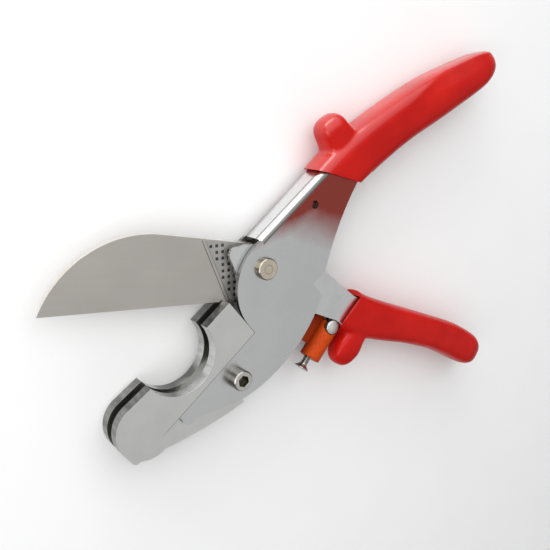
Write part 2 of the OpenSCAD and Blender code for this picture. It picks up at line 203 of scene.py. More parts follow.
def back_painted_reflections(n, back, along, degrees):
    """The channel's back, by its height over the middle plane, with painted reflections and shade: painted
    shade at the far fold, more so towards the pivot, then bright with faint bands, a thin painted dark line,
    a brighter painted highlight on the crest and painted shade at the near fold."""
    far_dark, far_bright, line_z, crest_z, fold_z = (mm * MM for mm in (-5.2, -1.0, 3.9, 4.1, 6.4))
    bands = n.noise(1.0, 2.0, 0.5, n.vector((14, 14, 240), degrees))
    z = n.calc("ADD", n.axis("Z"), n.calc("MULTIPLY", n.calc("SUBTRACT", bands, 0.5), 1.2 * MM))
    bright = n.mix(n.span(bands, 0.36, 0.64), tuple(c * 0.92 for c in back), back)
    # Painted reflections: a highlight on the crest, then shade at the far fold, a dark line and shade at the
    # near fold.
    bright = n.mix(n.span(z, crest_z, crest_z + 0.7 * MM), bright, (0.88, 0.88, 0.86))
    from_pivot = n.calc("SUBTRACT", n.axis("X", along), 60 * MM)
    far = n.calc("ADD", z, n.calc("MULTIPLY", from_pivot, 0.06))
    bright = n.mix(n.span(far, far_dark, far_bright, 0.8, 0.0), bright, (0.14, 0.14, 0.14))
    from_line = n.calc("ABSOLUTE", n.calc("SUBTRACT", z, line_z))
    bright = n.mix(n.span(from_line, 0.2 * MM, 0.7 * MM, 0.75, 0.0), bright, (0.15, 0.15, 0.15))
    return n.mix(n.span(z, fold_z, fold_z + 0.9 * MM, 0.0, 0.9), bright, (0.08, 0.08, 0.08))


def painted_red_reflection(n, along):
    """How much painted reflection of the red grip shows on the plate: strong beside the grip, fading towards
    the pivot. It reaches further down along the fold than across the plate."""
    fades_from, full_from = 82 * MM, 104 * MM
    rise = n.axis("Y", along)
    reach = n.calc("ADD", n.axis("X", along), n.calc("MULTIPLY", rise, 0.6))
    reach = n.calc("ADD", reach, n.calc("MULTIPLY", n.calc("MAXIMUM", rise, 0.0), 1.4))
    reflection_reach = n.calc("ADD", reach, n.calc("MULTIPLY", n.noise(55.0, 3.0, 0.55), 14 * MM))
    return n.span(reflection_reach, fades_from, full_from, 0.0, 0.96)


def plated(name, light, dark, rough, degrees, side, back=None, cloud=120.0):
    """Bright plating over pressed steel: cloudy tone, fine scratches in two directions, soft pits, and
    thickness faces painted darker as shade. With a back, it also takes painted shade and reflections on the
    channel's back and a painted red reflection beside the grip.
    """
    wear = 0.3
    n = Net(name, metallic=1.0)
    clouds = n.noise(cloud, 2.0, 0.45)
    fine = n.noise(700.0, 2.0, 0.5)
    lines = n.streaks(degrees, 2200.0, 30.0, 0.68, 0.8)
    strays = n.streaks(degrees + 57, 3000.0, 70.0, 0.71, 0.82)
    colour = n.mix(n.span(clouds, 0.3, 0.7), dark, light)
    colour = n.mix(n.calc("MULTIPLY", lines, wear), colour, tuple(c * 0.72 for c in dark))
    colour = n.mix(n.calc("MULTIPLY", strays, wear * 0.7), colour, tuple(min(1.0, c * 1.15) for c in light))
    # Painted shade: the thickness faces take the darker side colour, streaked across.
    across = n.noise(1.0, 3.0, 0.6, n.vector((40, 40, 900), degrees))
    grey = n.mix(n.span(across, 0.35, 0.65), tuple(c * 0.6 for c in side), side)
    face = n.flat_face()
    if back:
        along = n.vector(degrees=degrees)
        behind = n.span(n.axis("X", along), 63.5 * MM, 64 * MM)
        looks_back = n.calc("MULTIPLY", behind, n.span(n.sideways(degrees + 90), 0.0, 0.1))
        # The channel's back takes painted reflections and shade.
        grey = n.mix(looks_back, grey, back_painted_reflections(n, back, along, degrees))
        face = n.span(n.calc("ABSOLUTE", n.axis("Z", n.facing)), 0.982, 0.997)
        # Painted reflection of the red grip, mixed into the plate's colour.
        colour = n.mix(painted_red_reflection(n, along), colour, (0.36, 0.046, 0.03))
    colour = n.mix(face, grey, colour)
    roughness = n.calc("ADD", n.span(clouds, 0.3, 0.7, rough[0], rough[1]), n.calc("MULTIPLY", lines, 0.05))
    height = n.calc("ADD", n.calc("MULTIPLY", fine, 0.5), n.calc("MULTIPLY", lines, -0.5))
    return n.done(colour, roughness, n.bump(height, 0.003, 0.35))


def ground(name, light, dark, rough, degrees):
    """Ground steel: close parallel lines with a slow change of tone along them, and edges painted lighter as
    a highlight.
    """
    n = Net(name, metallic=1.0)
    grain = n.noise(1.0, 3.0, 0.6, n.vector((45, 1900, 1900), degrees))
    clouds = n.noise(30.0, 3.0, 0.5)
    scratches = n.streaks(degrees, 1300.0, 18.0, 0.68, 0.8)
    colour = n.mix(n.span(grain, 0.0, 1.0), dark, light)
    colour = n.mix(n.span(clouds, 0.35, 0.8, 0.0, 0.5), colour, tuple(c * 0.84 for c in dark))
    colour = n.mix(n.calc("MULTIPLY", scratches, 0.2), colour, tuple(c * 0.75 for c in dark))
    # Painted highlight: thickness faces and bevels are coloured lighter than the faces.
    colour = n.mix(n.flat_face(), tuple(min(1.0, c * 1.2) for c in light), colour)
    roughness = n.span(grain, 0.25, 0.75, rough[0], rough[1])
    return n.done(colour, roughness, n.bump(grain, 0.003, 0.25))


SEAT_R = 18.0


def plate_line(n):
    """On the jaw's front a faint line carries on from the plate's long edge, past the plate's end."""
    line_y, plate_end, fades_from, line_end = (mm * MM for mm in (-21.4, -18.8, -26, -30.5))
    place = n.vector(degrees=HANDLE_DEG)
    from_line = n.calc("ABSOLUTE", n.calc("SUBTRACT", n.axis("Y", place), line_y))
    line = n.span(from_line, 0.1 * MM, 0.3 * MM, 0.5, 0.0)
    line = n.calc("MULTIPLY", line, n.span(n.axis("X", place), line_end, fades_from))
    line = n.calc("MULTIPLY", line, n.span(n.axis("X", place), plate_end - 0.4 * MM, plate_end, 1.0, 0.0))
    return n.calc("MULTIPLY", line, n.span(n.axis("Z"), 0.0, 1 * MM))


def machined(name):
    """The jaw: satin flat faces, dark grey sawn edges with streaks across them, partly their sawn finish and
    partly painted shade, a brighter seat, and painted shade in the slot.
    """
    n = Net(name, metallic=1.0)
    clouds = n.noise(70.0, 4.0, 0.55)
    lines = n.noise(1.0, 2.0, 0.5, n.vector((90, 900, 900), HANDLE_DEG))
    strays = n.streaks(84, 2600.0, 80.0, 0.72, 0.82)
    face = n.mix(n.span(clouds, 0.3, 0.7), (0.74, 0.745, 0.73), (0.8, 0.8, 0.785))
    face = n.mix(n.calc("MULTIPLY", strays, 0.25), face, (0.45, 0.45, 0.44))
    face = n.mix(plate_line(n), face, (0.22, 0.22, 0.21))
    across = n.noise(1.0, 3.0, 0.6, n.vector((300, 300, 50), 0))
    # The sawn edges' dark grey is partly their finish and partly painted shade.
    edge = n.mix(n.span(across, 0.3, 0.7), (0.1, 0.1, 0.095), (0.34, 0.34, 0.33))
    seat = n.span(n.radius(), SEAT_R + 0.15, SEAT_R + 0.3, 1.0, 0.0)
    sweep = n.noise(1.0, 1.0, 0.4, n.vector((75, 75, 40), 0))
    bore = n.mix(n.span(sweep, 0.4, 0.62), (0.17, 0.17, 0.165), (0.66, 0.66, 0.65))
    bore = n.mix(n.span(across, 0.45, 0.75, 0.0, 0.5), bore, (0.2, 0.2, 0.195))
    edge = n.mix(seat, edge, bore)
    # Painted shade: faces near the middle plane, in the slot, are coloured darker.
    beyond_slot = n.depth(2.5, 2.75)
    colour = n.mix(n.flat_face(), edge, face)
    colour = n.mix(beyond_slot, (0.36, 0.36, 0.34), colour)
    satin = n.span(lines, 0.25, 0.75, 0.27, 0.31)
    polish = n.span(clouds, 0.3, 0.7, 0.12, 0.2)
    unpolished = n.calc("MULTIPLY", satin, n.calc("SUBTRACT", 1.0, seat))
    roughness = n.calc("ADD", unpolished, n.calc("MULTIPLY", polish, seat))
    return n.done(colour, roughness, n.bump(lines, 0.002, 0.25))


def vinyl(name, gloss):
    """Dipped vinyl, glossier where it hung uppermost: slow waves, fine orange peel, a little dust."""
    n = Net(name, coat_roughness=0.2)
    waves = n.noise(60.0, 3.0, 0.5)
    peel = n.noise(900.0, 2.0, 0.5)
    specks = n.span(n.noise(2600.0, 1.0, 0.5), 0.68, 0.76)
    colour = n.mix(n.span(waves, 0.3, 0.7), (0.45, 0.005, 0.003), (0.55, 0.009, 0.005))
    colour = n.mix(n.calc("MULTIPLY", specks, 0.06), colour, (0.7, 0.2, 0.16))
    roughness = n.span(n.noise(160.0, 4.0, 0.6), 0.3, 0.7, 0.3, 0.42)
    slow = n.bump(waves, 0.3, 0.3)
    n.shader.inputs["Specular IOR Level"].default_value = 0.09
    n.shader.inputs["Coat IOR"].default_value = 1.8
    n.link(n.span(n.sideways(HANDLE_DEG + 90), 0.15, 0.8, 0.1, gloss), n.shader.inputs["Coat Weight"])
    n.shader.inputs["Subsurface Weight"].default_value = 0.05
    n.shader.inputs["Subsurface Radius"].default_value = (0.8, 0.2, 0.1)
    n.shader.inputs["Subsurface Scale"].default_value = 0.001
    return n.done(colour, roughness, n.bump(peel, 0.015, 0.3, slow))


def moulded(name):
    """Moulded plastic: fine spark texture over a coarser set of dots, with a sheen on worn spots, and
    painted shade towards the back.
    """
    n = Net(name)
    grain = n.noise(2000.0, 3.0, 0.6)
    dots = n.cells(900.0)
    clouds = n.noise(140.0, 3.0, 0.5)
    n.shader.inputs["Specular IOR Level"].default_value = 0.12
    colour = n.mix(n.span(clouds, 0.3, 0.7), (0.5, 0.05, 0.004), (0.6, 0.07, 0.007))
    colour = n.mix(n.span(dots, 0.3, 0.6, 0.0, 0.3), colour, (0.32, 0.03, 0.003))
    # Painted shade: darker towards the back, where the tongue lies between the plates.
    colour = n.mix(n.span(n.axis("Z"), -1.5 * MM, 3 * MM, 0.8, 0.0), colour, (0.17, 0.014, 0.003))
    roughness = n.span(clouds, 0.3, 0.7, 0.42, 0.56)
    height = n.calc("ADD", n.calc("MULTIPLY", grain, 0.4), n.calc("MULTIPLY", dots, -1.0))
    return n.done(colour, roughness, n.bump(height, 0.1, 0.5))


def oiled(name, light, dark):
    """Dark steel with a cloudy layer of oil."""
    n = Net(name, metallic=1.0)
    clouds = n.noise(260.0, 5.0, 0.65)
    fine = n.noise(2400.0, 2.0, 0.5)
    colour = n.mix(n.span(clouds, 0.3, 0.7), dark, light)
    return n.done(colour, n.span(clouds, 0.3, 0.7, 0.28, 0.46), n.bump(fine, 0.01, 0.4))


def turned(name, light, dark, side, x_mm, y_mm, pitch=1.1, hollow=None, rings_at=()):
    """A turned head: rings round its own axis, a rim painted darker as shade, and painted shade in its
    socket if it has one.
    """
    n = Net(name, metallic=1.0)
    r = n.radius(x_mm, y_mm)
    rings = n.calc("SINE", n.calc("MULTIPLY", r, 2 * math.pi / pitch))
    clouds = n.noise(420.0, 4.0, 0.6)
    colour = n.mix(n.span(clouds, 0.3, 0.7), dark, light)
    colour = n.mix(n.span(rings, 0.2, 1.0, 0.0, 0.15), colour, tuple(c * 0.6 for c in dark))
    for ring in rings_at:
        near = n.calc("ABSOLUTE", n.calc("SUBTRACT", r, ring))
        colour = n.mix(n.span(near, 0.12, 0.3, 0.55, 0.0), colour, tuple(c * 0.45 for c in dark))
    # Painted shade: the head's rim takes the darker side colour.
    bands = n.noise(1.0, 2.0, 0.5, n.vector((420, 420, 30), 0))
    rim = n.mix(n.span(bands, 0.42, 0.58), tuple(c * 0.35 for c in side), side)
    colour = n.mix(n.flat_face(), rim, colour)
    # Painted shade in the socket: its inside is coloured near-black.
    if hollow:
        deep = n.span(n.axis("Z"), (hollow[1] - 0.25) * MM, hollow[1] * MM, 1.0, 0.0)
        inner = n.calc("MULTIPLY", deep, n.span(r, hollow[0], hollow[0] + 0.08, 1.0, 0.0))
        colour = n.mix(inner, colour, (0.12, 0.115, 0.09))
    roughness = n.span(clouds, 0.3, 0.7, 0.18, 0.3)
    return n.done(colour, roughness, n.bump(n.calc("ADD", rings, clouds), 0.01, 0.35))


PLATE = plated("plated_plate", (0.735, 0.74, 0.745), (0.695, 0.7, 0.705), (0.26, 0.3), HANDLE_DEG,
    (0.27, 0.27, 0.27), back=(0.8, 0.8, 0.805), cloud=70.0)
LEVER_PLATE = plated("plated_lever", (0.82, 0.825, 0.83), (0.75, 0.755, 0.76), (0.25, 0.31), -HANDLE_DEG,
    (0.55, 0.55, 0.55))
JAW_STEEL = machined("jaw_machined")
BLADE_STEEL = ground("blade_ground", (0.67, 0.635, 0.59), (0.6, 0.57, 0.53), (0.3, 0.4), -4)
PAD_STEEL = ground("blade_panel", (0.62, 0.6, 0.57), (0.48, 0.465, 0.45), (0.42, 0.55), -64)
DOT_STEEL = oiled("blade_dots", (0.12, 0.12, 0.12), (0.05, 0.05, 0.05))
RIVET = turned("rivet_nickel", (0.8, 0.73, 0.6), (0.68, 0.61, 0.49), (0.34, 0.3, 0.23), pivot.x, pivot.y,
    rings_at=(2.1,))
BOLT_AT = centre("jaw_bolt")
BOLT_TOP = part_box("jaw_bolt")[1].z / MM
BOLT = turned("bolt_zinc", (0.74, 0.72, 0.67), (0.62, 0.6, 0.56), (0.22, 0.21, 0.19),
    BOLT_AT.x, BOLT_AT.y, 0.8, hollow=(3.4, BOLT_TOP - 0.1))
ZINC = plated("screw_zinc", (0.66, 0.65, 0.61), (0.5, 0.49, 0.46), (0.2, 0.32), -HANDLE_DEG,
    (0.5, 0.5, 0.48), cloud=400.0)
NUT = plated("nut_zinc", (0.9, 0.89, 0.85), (0.8, 0.79, 0.75), (0.3, 0.4), -HANDLE_DEG,
    (0.5, 0.5, 0.48), cloud=300.0)
DARK = oiled("oiled_steel", (0.3, 0.3, 0.3), (0.16, 0.16, 0.165))
# Painted shade with a painted red reflection: the spring anchor is near-black with a red tint.
ANCHOR_PAINTED_SHADE = oiled("anchor_painted_shade", (0.16, 0.07, 0.055), (0.1, 0.04, 0.035))
RED = vinyl("red_vinyl", 0.9)
RED_MATT = vinyl("red_vinyl_matt", 0.15)
ORANGE = moulded("orange_plastic")

FINISH = {
    "body_channel": PLATE,
    "lever_channel": LEVER_PLATE,
    "jaw": JAW_STEEL,
    "blade": BLADE_STEEL,
    "jaw_bolt": BOLT,
    "jaw_washer": ZINC,
    "jaw_nut": ZINC,
    "pivot_rivet": RIVET,
    "pivot_washer": ZINC,
    "pivot_bush": DARK,
    "spring_anchor": ANCHOR_PAINTED_SHADE,
    "opening_spring": DARK,
    "blade_spacers": DARK,
    "blade_rivets": DARK,
    "spring_post": DARK,
    "upper_grip": RED,
    "lower_grip": RED_MATT,
    "latch_slider": ORANGE,
    "latch_screw": ZINC,
    "latch_nut": NUT,
}
EDGE_MM = {"body_channel": 0.28, "jaw": 0.3, "lever_channel": 0.22, "blade": 0.12, "jaw_bolt": 0.15,
    "jaw_washer": 0.12, "jaw_nut": 0.25, "pivot_rivet": 0.12, "pivot_washer": 0.12, "latch_slider": 0.5}


def weld(obj):
    """Joins the CAD mesh's doubled points."""
    m = obj.modifiers.new("weld", "WELD")
    m.merge_threshold = 0.002 * MM


def ease(obj, width_mm):
    """Rounds the edges slightly, as pressing and plating do."""
    flat = obj.modifiers.new("flat", "DECIMATE")
    flat.decimate_type = "DISSOLVE"
    flat.angle_limit = math.radians(0.6)
    b = obj.modifiers.new("edge", "BEVEL")
    b.width = width_mm * MM
    b.segments = 2
    b.limit_method = "ANGLE"
    b.angle_limit = math.radians(32)
    b.harden_normals = True
    b.miter_outer = "MITER_ARC"


def smooth(obj):
    """Smooth shading with Blender's own normals, so that the modifiers can change the mesh."""
    mesh = obj.data
    if mesh.has_custom_normals:
        mesh.attributes.remove(mesh.attributes["custom_normal"])
    mesh.shade_smooth()


for name, made in FINISH.items():
    o = NODES[name]
    o.data.materials.clear()
    o.data.materials.append(made)
    smooth(o)
    weld(o)
    if name in EDGE_MM:
        ease(o, EDGE_MM[name])


# ---------------------------------------------------------------- mesh helpers
def mesh_object(name, verts, faces, matrix=Matrix.Identity(4)):
    """Vertices in millimetres, placed by a frame."""
    mesh = bpy.data.meshes.new(name)
    mesh.from_pydata([tuple(v) for v in verts], [], faces)
    mesh.validate()
    bm = bmesh.new()
    bm.from_mesh(mesh)
    bmesh.ops.recalc_face_normals(bm, faces=bm.faces)
    bm.to_mesh(mesh)
    bm.free()
    mesh.transform(Matrix.Scale(MM, 4) @ matrix)
    obj = bpy.data.objects.new(name, mesh)
    bpy.context.scene.collection.objects.link(obj)
    return obj


def prism(name, outline, low, high, matrix):
    """An outline in the frame's XY plane, raised from one height to another."""
    count = len(outline)
    verts = [(x, y, low) for x, y in outline] + [(x, y, high) for x, y in outline]
    faces = [list(range(count))[::-1], list(range(count, 2 * count))]
    faces += [[i, (i + 1) % count, (i + 1) % count + count, i + count] for i in range(count)]
    return mesh_object(name, verts, faces, matrix)


def tube(name, radius, start, end, matrix):
    """A closed cylinder between two points."""
    sides = 64
    a, b = Vector(start), Vector(end)
    way = (b - a).normalized()
    side = way.cross(FRONT if abs(way.z) < 0.9 else Vector((1, 0, 0))).normalized()
    up = way.cross(side)
    verts = []
    for p in (a, b):
        for i in range(sides):
            q = 2 * math.pi * i / sides
            verts.append(p + (side * math.cos(q) + up * math.sin(q)) * radius)
    faces = [list(range(sides))[::-1], list(range(sides, 2 * sides))]
    faces += [[i, (i + 1) % sides, (i + 1) % sides + sides, i + sides] for i in range(sides)]
    return mesh_object(name, verts, faces, matrix)


def combine(obj, other, how):
    """Joins, trims or cuts the object with another, which is used up."""
    m = obj.modifiers.new("cut", "BOOLEAN")
    m.operation = how
    m.solver = "EXACT"
    m.object = other
    bake(obj)
    bpy.data.objects.remove(other)


def bake(obj):
    """The object's mesh becomes what its modifiers make of it."""
    graph = bpy.context.evaluated_depsgraph_get()
    graph.update()
    new = bpy.data.meshes.new_from_object(obj.evaluated_get(graph), depsgraph=graph)
    obj.modifiers.clear()
    old = obj.data
    obj.data = new
    bpy.data.meshes.remove(old)


# The grips are drawn this much slimmer than their CAD solids, so that they stay inside them.
SLIM = 0.06


def curve_point(k, u):
    """Catmull-Rom through knots [x, y, half width, half thickness]."""
    i = min(int(u), len(k) - 2)
    a, b, c, d = (np.array(k[max(0, min(len(k) - 1, j))], float) for j in (i - 1, i, i + 1, i + 2))
    t = u - i
    square, cube = 2 * a - 5 * b + 4 * c - d, 3 * b - a - 3 * c + d
    return 0.5 * (2 * b + (c - a) * t + square * t * t + cube * t ** 3)


def sleeve(name, k, matrix, start, rings=90, ridge=None):
    """A rounded box section swept along knots. From start, a part of the whole length, it closes to a round
    end, and a ridge makes one side's corner a soft crease."""
    sides, power = 56, 0.62
    span = len(k) - 1
    verts = []
    for i in range(rings + 1):
        v = i / rings
        s = curve_point(k, v * span)
        a, b = curve_point(k, max(0, v * span - 0.02)), curve_point(k, min(span, v * span + 0.02))
        h = math.atan2(b[1] - a[1], b[0] - a[0])
        c = 1.0 if v < start else math.sqrt(max(0.0004, 1 - ((v - start) / (1 - start)) ** 2))
        for j in range(sides):
            q = 2 * math.pi * j / sides
            y = math.copysign(abs(math.sin(q)) ** power, math.sin(q))
            z = math.copysign(abs(math.cos(q)) ** power, math.cos(q))
            if ridge:
                y, z = ridge(v, y, z)
            wide, thick = s[2] - SLIM, s[3] - SLIM
            verts.append((
                s[0] - math.sin(h) * wide * c * y,
                s[1] + math.cos(h) * wide * c * y,
                thick * c * z))
    faces = [list(range(sides))[::-1], [rings * sides + j for j in range(sides)]]
    for i in range(rings):
        for j in range(sides):
            a, b = i * sides + j, i * sides + (j + 1) % sides
            faces.append([a, b, b + sides, a + sides])
    return mesh_object(name, verts, faces, matrix)


def relax(obj, weight, rounds):
    """Moves each point towards its neighbours' mean, by weight(point in millimetres)."""
    mesh = obj.data
    count = len(mesh.vertices)
    co = np.zeros(count * 3)
    mesh.vertices.foreach_get("co", co)
    co = co.reshape(-1, 3)
    edges = np.zeros(len(mesh.edges) * 2, int)
    mesh.edges.foreach_get("vertices", edges)
    a, b = edges[0::2], edges[1::2]
    near = np.bincount(a, minlength=count) + np.bincount(b, minlength=count)
    w = weight(co / MM)[:, None]
    for _ in range(rounds):
        total = np.zeros_like(co)
        np.add.at(total, a, co[b])
        np.add.at(total, b, co[a])
        co += (total / near[:, None] - co) * w
    mesh.vertices.foreach_set("co", co.ravel())
    mesh.update()


def remesh(obj, size_mm):
    """Even faces all over, so that joined forms can be blended."""
    m = obj.modifiers.new("remesh", "REMESH")
    m.mode = "VOXEL"
    m.voxel_size = size_mm * MM
    m.use_smooth_shade = True
    bake(obj)


def local(points, matrix):
    """Points in millimetres of the shared frame, in one of the frames above."""
    inverse = np.array(matrix.inverted())
    return points @ inverse[:3, :3].T + inverse[:3, 3]


def finish_piece(obj, body, slot, *nodes, material):
    """Gives a new piece its material and body, and hides the CAD nodes it replaces. The slot is not used."""
    obj.data.materials.clear()
    obj.data.materials.append(material)
    obj.data.shade_smooth()
    obj.data.set_sharp_from_angle(angle=math.radians(45))
    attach(obj, body)
    if nodes:
        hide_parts(*nodes)


# ---------------------------------------------------------------- grips
VOXEL = 0.7
# The latch's screw, barrel and round nut stand in the lever's frame; the lower grip leaves room for them.
SCREW_X = 57.0
HEAD_Y = -28.0
PITCH = 0.7
BARREL_X, BARREL_ROOM_R = 58.1, 5.87
NUT_Y, BUTTON_ROOM_R, STEM_ROOM_R = -1.9, 3.97, 3.0
BUTTON_LOW = 2.3


def shoulder(v, y, z):
    """The far half of the upper handle has a slanted shoulder above a crease on each side."""
    grow = min(1.0, max(0.0, (v - 0.42) / 0.2))
    if y <= 0.12 or grow == 0:
        return y, z
    limit = 1.0 - 0.34 * grow * (y - 0.12) / 0.88
    return y, math.copysign(min(abs(z), limit), z)


def section_prism(name, section, x0, x1, matrix):
    """A section in the frame's YZ plane, swept along its X."""
    count = len(section)
    verts = [(x, y, z) for x in (x0, x1) for y, z in section]
    faces = [list(range(count))[::-1], list(range(count, 2 * count))]
    faces += [[i, (i + 1) % count, (i + 1) % count + count, i + count] for i in range(count)]
    return mesh_object(name, verts, faces, matrix)


def rounded_channel(top, half, r, low):
    """Section of the body's channel: square below, with two round folds at the top."""
    arc = [math.radians(a) for a in range(0, 91, 9)]
    right = [(top - r + r * math.sin(a), half - r + r * math.cos(a)) for a in arc]
    left = [(y, -z) for y, z in reversed(right)]
    return [(low, half)] + right + left + [(low, -half)]


upper = sleeve("upper_sleeve", [[44, 2, 12.8, 9.8], [64, 2.7, 12.8, 9.9], [82, 1.9, 12.6, 10.5],
    [108, -2.1, 12.2, 10.5], [134, -8.2, 12.2, 10.5], [158, -15, 10.7, 10], [172, -18.8, 9.5, 9.2],
    [185.5, -21.4, 8.7, 8.4]], BODY, 0.82, ridge=shoulder)
hook = sleeve("hook", [[71.5, 2, 12, 7.5], [72.6, 12, 10.2, 7.8], [73, 20.5, 8.1, 7.7],
    [73.9, 28.7, 8.4, 7.2]], BODY, 0.68, rings=40)
combine(upper, hook, "UNION")
remesh(upper, VOXEL)
relax(upper, lambda p: np.where(local(p, BODY)[:, 0] < 100, 0.4, 0.25), 8)
trim = prism("mouth", [[44.5, 25], [75, -18.5], [210, -60], [210, 50], [50, 50]], -20, 20, BODY)
combine(upper, trim, "INTERSECT")
# Room for the folded plate, a little more of it at the mouth, and the narrower steel further in.
fold = section_prism("fold_room", rounded_channel(12.56, 8.06, 3.5, -12), 40, 77.6, BODY)
combine(upper, fold, "DIFFERENCE")
gap = section_prism("mouth_gap", rounded_channel(13.4, 8.9, 4, -12), 40, 59, BODY)
combine(upper, gap, "DIFFERENCE")
core = prism("core", [[40, 9], [77.3, 9], [77.5, 12.5], [108, 6.6], [134, -0.9], [164.1, -10.9],
    [164.1, -23.1], [134, -15.6], [108, -9.6], [76, -5.1], [70, -5.1], [66, -6], [62, -7.5], [58, -9.3],
    [54, -11.3], [40, -20]], -8.05, 8.05, BODY)
combine(upper, core, "DIFFERENCE")
finish_piece(upper, "frame_body", "dipped_vinyl", "upper_grip", material=RED)

lower = sleeve("lower_sleeve", [[50, 10.6, 10.9, 8.2], [60, 11.1, 11.2, 8.4], [70, 12.2, 11.5, 8.9],
    [86, 17.5, 10.8, 9.6], [106, 25.1, 9.8, 9.6], [126, 31.9, 9.5, 9.6], [141, 36, 10, 9.4],
    [155, 38.5, 10, 9.2], [165, 39.7, 9.4, 8.8], [172.5, 40.2, 8.6, 8]], LEVER, 0.81)
rest = sleeve("finger_rest", [[76, 14, 7.5, 7], [74.8, 4, 7, 7.4], [75.5, -6, 8.2, 7.4],
    [76.5, -15.6, 8.6, 6.8]], LEVER, 0.55, rings=40)
combine(lower, rest, "UNION")
remesh(lower, VOXEL)
relax(lower, lambda p: np.where(local(p, LEVER)[:, 0] < 92, 0.4, 0.25), 8)
trim = prism("mouth", [[59.3, -40], [220, -40], [220, 80], [62, 26], [60, 10], [59.3, -2]], -20, 20, LEVER)
combine(lower, trim, "INTERSECT")
# Room for the lever's channel, a little more of it at the mouth, and the latch's parts.
core = prism("core", [[40, 1.95], [74, 1.95], [85.1, 7.9], [98.1, 14.4], [125, 24.9], [157.1, 32.9],
    [157.1, 44.1], [139, 43.1], [104, 31.6], [73, 21.6], [58, 18.05], [40, 18.05]], -5.75, 5.75, LEVER)
combine(lower, core, "DIFFERENCE")
gap = prism("mouth_gap", [[50, 2], [62, 2], [64, 19.6], [50, 19.6]], -7, 7, LEVER)
combine(lower, gap, "DIFFERENCE")
for room_r, start, end in (
        (BARREL_ROOM_R, (BARREL_X, -30, 0), (BARREL_X, 2, 0)),
        (BUTTON_ROOM_R, (SCREW_X, NUT_Y, BUTTON_LOW), (SCREW_X, NUT_Y, 12)),
        (STEM_ROOM_R, (SCREW_X, -30, 0), (SCREW_X, 3, 0))):
    combine(lower, tube("room", room_r, start, end, LEVER), "DIFFERENCE")
finish_piece(lower, "lever_arm", "dipped_vinyl", "lower_grip", material=RED_MATT)

# ---------------------------------------------------------------- threaded latch screw
SCREW_PLACE = LEVER @ Matrix.Translation((SCREW_X, HEAD_Y, 0))


def threaded():
    """Countersunk screw along the lever frame's Y, with a real helical thread; its cross recess is cut
    after.
    """
    sides, steps = 40, 12
    length, first = 36.0, 2.2
    shank_r, thread_depth, run_out = 2.0, 0.33, 1.2
    rows = int((length - first) / PITCH * steps)
    verts, faces = [], []
    for radius, y in ((3.85, 0.0), (4.0, 0.15), (4.0, 0.4)):
        verts += [(radius * math.cos(2 * math.pi * j / sides), y, radius * math.sin(2 * math.pi * j / sides))
            for j in range(sides)]
    for i in range(rows + 1):
        y = first + (length - first) * i / rows
        for j in range(sides):
            turnover = (y / PITCH - j / sides) % 1.0
            depth = thread_depth * abs(2 * turnover - 1)
            fade = min(1.0, max(0.0, (y - first) / run_out))
            r = shank_r - depth * fade
            verts.append((r * math.cos(2 * math.pi * j / sides), y, r * math.sin(2 * math.pi * j / sides)))
    total = rows + 4
    faces.append(list(range(sides)))
    faces.append([(total - 1) * sides + j for j in range(sides)][::-1])
    for i in range(total - 1):
        for j in range(sides):
            a, b = i * sides + j, i * sides + (j + 1) % sides
            faces.append([a, a + sides, b + sides, b])
    return mesh_object("latch_screw_threaded", verts, faces, SCREW_PLACE)


screw = threaded()
# The cross recess: two wedges that narrow into the head.
for half_x, half_z in ((2.2, 0.42), (0.42, 2.2)):
    verts = [(sx * half_x * (1 if y < 0 else 0.45), y, sz * half_z * (1 if y < 0 else 0.7))
        for y in (-0.5, 1.5) for sx in (-1, 1) for sz in (-1, 1)]
    faces = [[0, 1, 3, 2], [4, 6, 7, 5], [0, 4, 5, 1], [2, 3, 7, 6], [0, 2, 6, 4], [1, 5, 7, 3]]
    combine(screw, mesh_object("recess", verts, faces, SCREW_PLACE), "DIFFERENCE")
finish_piece(screw, "lever_arm", "screw_steel", "latch_screw", material=ZINC)

# ---------------------------------------------------------------- blade panel
# A textured sheet in the blade's pocket: a dark ground, a border strip, and a field of small dark squares.
EDGE_TOP, EDGE_LOW, ROOF_END = (-29.9, 15.5), (-17.9, -14.4), (-6.0, 11.2)
DOTS_WIDE, DOTS_HIGH, DOT_PITCH_X, DOT_PITCH_Y = 8, 10, 3.01, 3.02
DOT_FIRST, DOT_ROOM, DOT_HALF, DOT_TOP_HALF = (-25.3, 12.2), 0.7, 0.72, 0.58


def border(inset, y):
    """X of the panel's slanted border at a height, moved in by a distance square to it."""
    run, rise = EDGE_LOW[0] - EDGE_TOP[0], EDGE_LOW[1] - EDGE_TOP[1]
    return EDGE_TOP[0] + run * (y - EDGE_TOP[1]) / rise + inset * math.hypot(run, rise) / abs(rise)


def roof(inset, x):
    """Y of the panel's top border."""
    slope = (ROOF_END[1] - EDGE_TOP[1]) / (ROOF_END[0] - EDGE_TOP[0])
    return EDGE_TOP[1] + (x - EDGE_TOP[0]) * slope - inset


def panel(name, near, far, low, high, material):
    """A sheet from one inset off the slanted border to another, or to the pocket's inner end."""
    top, floor_y, inner_x = 0.15, -14.25, -6.15
    left_top = border(near, 15.2)
    outline = [(left_top, roof(top, left_top)), (border(near, floor_y), floor_y)]
    if far:
        right_top = border(far, 14.8)
        outline += [(border(far, floor_y), floor_y), (right_top, roof(top, right_top))]
    else:
        outline += [(inner_x, floor_y), (inner_x, roof(top, inner_x))]
    obj = prism(name, outline, low, high, PIVOT)
    finish_piece(obj, "lever_arm", "blade_steel", material=material)
    obj.data.shade_flat()


panel("panel_ground", 0.05, None, 1.285, 1.305, DOT_STEEL)
panel("panel_border", 0.28, 1.5, 1.29, 1.46, BLADE_STEEL)
panel("panel_field", 1.78, None, 1.29, 1.42, PAD_STEEL)

